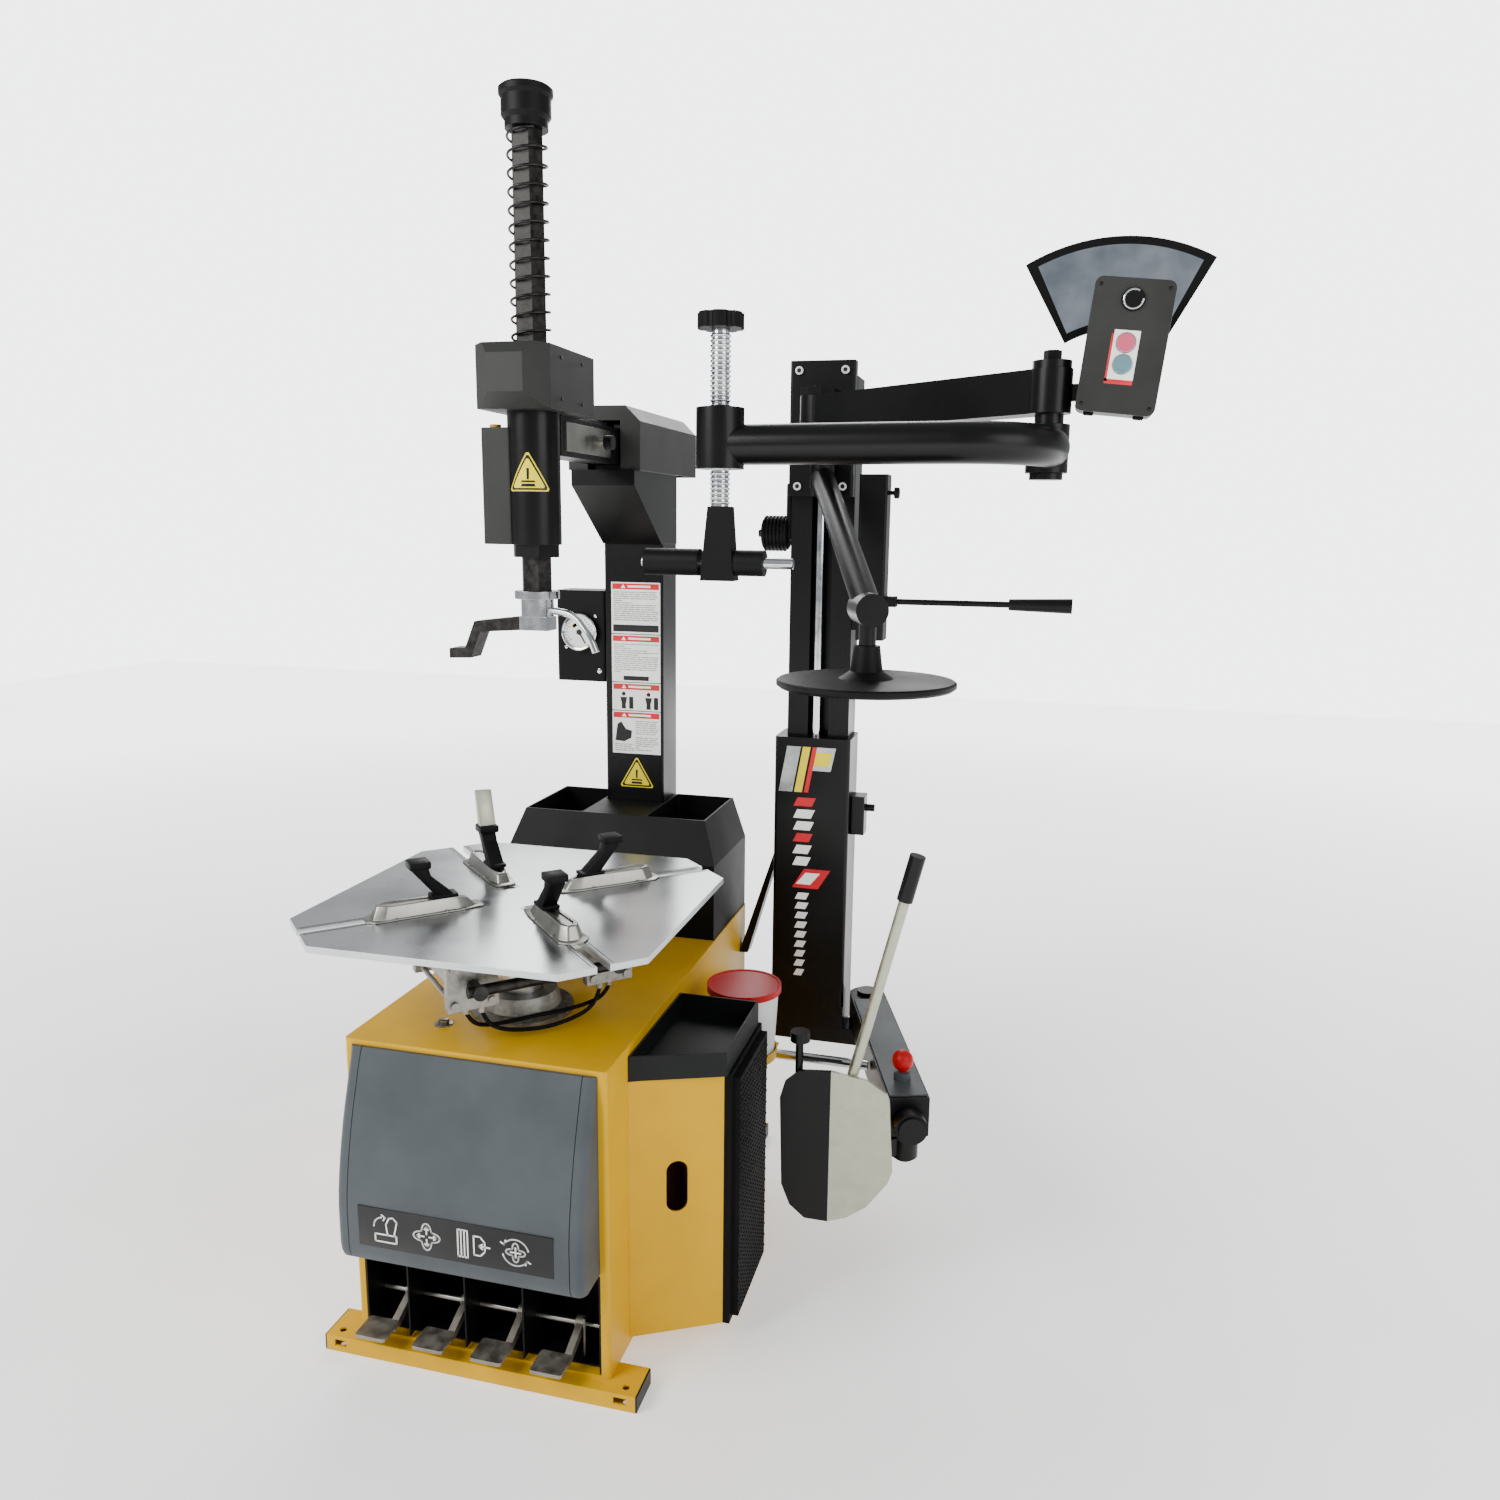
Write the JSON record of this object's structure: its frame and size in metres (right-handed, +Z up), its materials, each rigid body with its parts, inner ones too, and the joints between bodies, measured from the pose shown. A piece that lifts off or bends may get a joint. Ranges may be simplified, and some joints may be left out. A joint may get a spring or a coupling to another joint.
{
  "type": "tire changer machine",
  "caption": "Floor-standing tyre changer with square turntable, tilting post, bead breaker and bead-assist arms, in yellow, black and grey",
  "frame": {"origin": "centre of the floor anchor holes, on the floor", "axes": "+X to the bead breaker side, +Y to the tilting post, +Z up"},
  "size_m": [1.585, 1.2525, 2.402],
  "materials": {
    "yellow_paint": "semi_gloss",
    "black_paint": "semi_gloss",
    "black_plastic": "matte",
    "grey_plastic": "matte",
    "table_steel": "satin",
    "zinc_steel": "satin",
    "cast_aluminium": "satin",
    "chrome": "polished",
    "rubber": "matte",
    "white_plastic": "gloss",
    "red_plastic": "gloss",
    "amber_plastic": "gloss",
    "mirror_glass": "polished"
  },
  "bodies": {
    "frame": {"cabinet": "yellow_paint", "side_box": "yellow_paint", "front_panel": "grey_plastic", "pedal_bay": "black_paint", "pedal_brackets": "zinc_steel", "tool_tray": "black_plastic", "wheel_rest": "rubber", "paste_bucket": "white_plastic", "drive_unit": "cast_aluminium", "post_hood": "black_plastic", "assist_column": "black_paint"},
    "table": {"turntable": "table_steel", "clamp_cylinders": "cast_aluminium", "hose_outer": "rubber", "hose_inner": "rubber"},
    "jaw_1": {"jaw_front_right": "zinc_steel"},
    "jaw_2": {"jaw_back_right": "zinc_steel"},
    "jaw_3": {"jaw_back_left": "zinc_steel"},
    "jaw_4": {"jaw_front_left": "zinc_steel"},
    "clamp_push": {"clamp_rods": "zinc_steel"},
    "tread_1": {"pedal_1": "zinc_steel"},
    "tread_2": {"pedal_2": "zinc_steel"},
    "tread_3": {"pedal_3": "zinc_steel"},
    "tread_4": {"pedal_4": "zinc_steel"},
    "post": {"tilt_post": "black_paint", "rear_cover": "grey_plastic", "gauge_box": "black_plastic"},
    "tilt_push": {"tilt_rod": "chrome"},
    "arm": {"slide_arm": "black_paint", "arm_fittings": "zinc_steel", "shaft_housing": "black_paint", "head_cover": "grey_plastic", "shaft_spring": "black_paint"},
    "lock": {"lock_button": "amber_plastic"},
    "shaft": {"hexagonal_shaft": "zinc_steel", "shaft_knob": "black_plastic", "mount_head": "chrome"},
    "lift": {"carriage": "black_paint", "lift_rod": "chrome"},
    "arm_inner": {"assist_beam": "black_paint", "hand_control_box": "black_plastic"},
    "arm_outer": {"bowed_arm": "black_paint"},
    "press": {"press_screw": "chrome", "press_foot": "black_plastic"},
    "roller": {"press_roller": "black_plastic"},
    "disc_swing": {"disc_arm": "black_paint"},
    "disc": {"bead_disc": "black_plastic"},
    "lever": {"control_lever": "black_paint"},
    "key_ring": {"ring_button": "chrome"},
    "key_upper": {"upper_button": "red_plastic"},
    "key_lower": {"lower_button": "white_plastic"},
    "mirror": {"mirror_rim": "rubber", "mirror_glass": "mirror_glass"},
    "breaker": {"breaker_beam": "black_paint", "breaker_plate": "grey_plastic"},
    "ball": {"ball_knob": "red_plastic"},
    "blade": {"blade_arm": "black_paint", "breaker_blade": "zinc_steel"},
    "bead_push": {"bead_piston": "chrome"},
    "lid": {"bucket_lid": "red_plastic"}
  },
  "joints": [
    {"name": "table_spin", "type": "hinge", "parent": "frame", "child": "table", "pos_m": [0, -0.275, 0.782], "axis": [0, 0, 1], "continuous": true},
    {"name": "jaw_slide_1", "type": "slide", "parent": "table", "child": "jaw_1", "axis": [0.7071, -0.7071, 0], "range_m": [-0.035, 0.1]},
    {"name": "jaw_slide_2", "type": "slide", "parent": "table", "child": "jaw_2", "axis": [0.7071, 0.7071, 0], "range_m": [-0.035, 0.1]},
    {"name": "jaw_slide_3", "type": "slide", "parent": "table", "child": "jaw_3", "axis": [-0.7071, 0.7071, 0], "range_m": [-0.035, 0.1]},
    {"name": "jaw_slide_4", "type": "slide", "parent": "table", "child": "jaw_4", "axis": [-0.7071, -0.7071, 0], "range_m": [-0.035, 0.1]},
    {"name": "clamp_stroke", "type": "slide", "parent": "table", "child": "clamp_push", "axis": [0.7071, -0.7071, 0], "range_m": [-0.01, 0.03]},
    {"name": "pedal_press_1", "type": "hinge", "parent": "frame", "child": "tread_1", "pos_m": [-0.183, -0.43, 0.096], "axis": [1, 0, 0], "range_deg": [0, 9], "stiffness_Nm_per_rad": 8, "springref_deg": -17.19},
    {"name": "pedal_press_2", "type": "hinge", "parent": "frame", "child": "tread_2", "pos_m": [-0.061, -0.43, 0.096], "axis": [1, 0, 0], "range_deg": [0, 9], "stiffness_Nm_per_rad": 8, "springref_deg": -17.19},
    {"name": "pedal_press_3", "type": "hinge", "parent": "frame", "child": "tread_3", "pos_m": [0.061, -0.43, 0.096], "axis": [1, 0, 0], "range_deg": [0, 9], "stiffness_Nm_per_rad": 8, "springref_deg": -17.19},
    {"name": "pedal_press_4", "type": "hinge", "parent": "frame", "child": "tread_4", "pos_m": [0.183, -0.43, 0.096], "axis": [1, 0, 0], "range_deg": [0, 9], "stiffness_Nm_per_rad": 8, "springref_deg": -17.19},
    {"name": "post_tilt", "type": "hinge", "parent": "frame", "child": "post", "pos_m": [0, 0.48, 0.69], "axis": [1, 0, 0], "range_deg": [-25, 0]},
    {"name": "tilt_stroke", "type": "slide", "parent": "frame", "child": "tilt_push", "axis": [0, 1, 0], "range_m": [-0.065, 0]},
    {"name": "arm_reach", "type": "slide", "parent": "post", "child": "arm", "axis": [0, 1, 0], "range_m": [-0.1, 0.07]},
    {"name": "button_press", "type": "slide", "parent": "arm", "child": "lock", "axis": [0, 0, -1], "range_m": [0, 0.004], "stiffness_N_per_m": 500, "springref_m": -0.002},
    {"name": "shaft_drop", "type": "slide", "parent": "arm", "child": "shaft", "axis": [0, 0, 1], "range_m": [-0.27, 0], "stiffness_N_per_m": 900, "springref_m": 0.32, "deforming": ["shaft_spring"]},
    {"name": "carriage_lift", "type": "slide", "parent": "frame", "child": "lift", "axis": [0, 0, 1], "range_m": [-0.22, 0]},
    {"name": "arm_swing", "type": "hinge", "parent": "lift", "child": "arm_inner", "pos_m": [0.455, 0.34, 1.866], "axis": [0, 0, 1], "range_deg": [-12, 20]},
    {"name": "elbow_swing", "type": "hinge", "parent": "arm_inner", "child": "arm_outer", "pos_m": [0.961, -0.035, 1.765], "axis": [0, 0, 1], "range_deg": [-15, 12]},
    {"name": "press_drop", "type": "slide", "parent": "arm_outer", "child": "press", "axis": [0, 0, 1], "range_m": [-0.09, 0]},
    {"name": "roller_spin", "type": "hinge", "parent": "press", "child": "roller", "pos_m": [0.293, -0.1925, 1.553], "axis": [1, 0, 0], "continuous": true},
    {"name": "disc_swing", "type": "hinge", "parent": "lift", "child": "disc_swing", "pos_m": [0.468, 0.35, 1.734], "axis": [0, 0, 1], "range_deg": [-10, 35]},
    {"name": "disc_spin", "type": "hinge", "parent": "disc_swing", "child": "disc", "pos_m": [0.664, -0.192, 1.34], "axis": [0, 0, 1], "continuous": true},
    {"name": "lever_rock", "type": "hinge", "parent": "frame", "child": "lever", "pos_m": [0.624, 0.432, 1.451], "axis": [0, 1, 0], "range_deg": [-12, 12], "stiffness_Nm_per_rad": 60},
    {"name": "ring_press", "type": "slide", "parent": "arm_inner", "child": "key_ring", "axis": [0, 1, 0], "range_m": [0, 0.003], "stiffness_N_per_m": 400, "springref_m": -0.001},
    {"name": "upper_press", "type": "slide", "parent": "arm_inner", "child": "key_upper", "axis": [0, 1, 0], "range_m": [0, 0.003], "stiffness_N_per_m": 400, "springref_m": -0.001},
    {"name": "lower_press", "type": "slide", "parent": "arm_inner", "child": "key_lower", "axis": [0, 1, 0], "range_m": [0, 0.003], "stiffness_N_per_m": 400, "springref_m": -0.001},
    {"name": "mirror_tilt", "type": "hinge", "parent": "arm_inner", "child": "mirror", "pos_m": [1.068, 0.0114, 2.004], "axis": [1, 0, 0], "range_deg": [-15, 15]},
    {"name": "breaker_swing", "type": "hinge", "parent": "frame", "child": "breaker", "pos_m": [0.592, 0.47, 0.415], "axis": [0, 0, 1], "range_deg": [-3, 20]},
    {"name": "ball_pull", "type": "slide", "parent": "breaker", "child": "ball", "axis": [0, 0, 1], "range_m": [0, 0.006]},
    {"name": "blade_turn", "type": "hinge", "parent": "breaker", "child": "blade", "pos_m": [0.75188, -0.02796, 0.344], "axis": [0, 0, 1], "range_deg": [-8, 10]},
    {"name": "bead_stroke", "type": "slide", "parent": "frame", "child": "bead_push", "axis": [1, 0, 0], "range_m": [-0.02, 0.12]},
    {"name": "lid_lift", "type": "slide", "parent": "frame", "child": "lid", "axis": [0, 0, 1], "range_m": [0, 0.06]}
  ],
  "couplings": [
    {"joint": "jaw_slide_2", "follows": "jaw_slide_1", "ratio": 1},
    {"joint": "jaw_slide_3", "follows": "jaw_slide_1", "ratio": 1},
    {"joint": "jaw_slide_4", "follows": "jaw_slide_1", "ratio": 1},
    {"joint": "clamp_stroke", "follows": "jaw_slide_1", "ratio": 0.25},
    {"joint": "tilt_stroke", "follows": "post_tilt", "m_per_rad": 0.14},
    {"joint": "bead_stroke", "follows": "breaker_swing", "m_per_rad": 0.33}
  ]
}
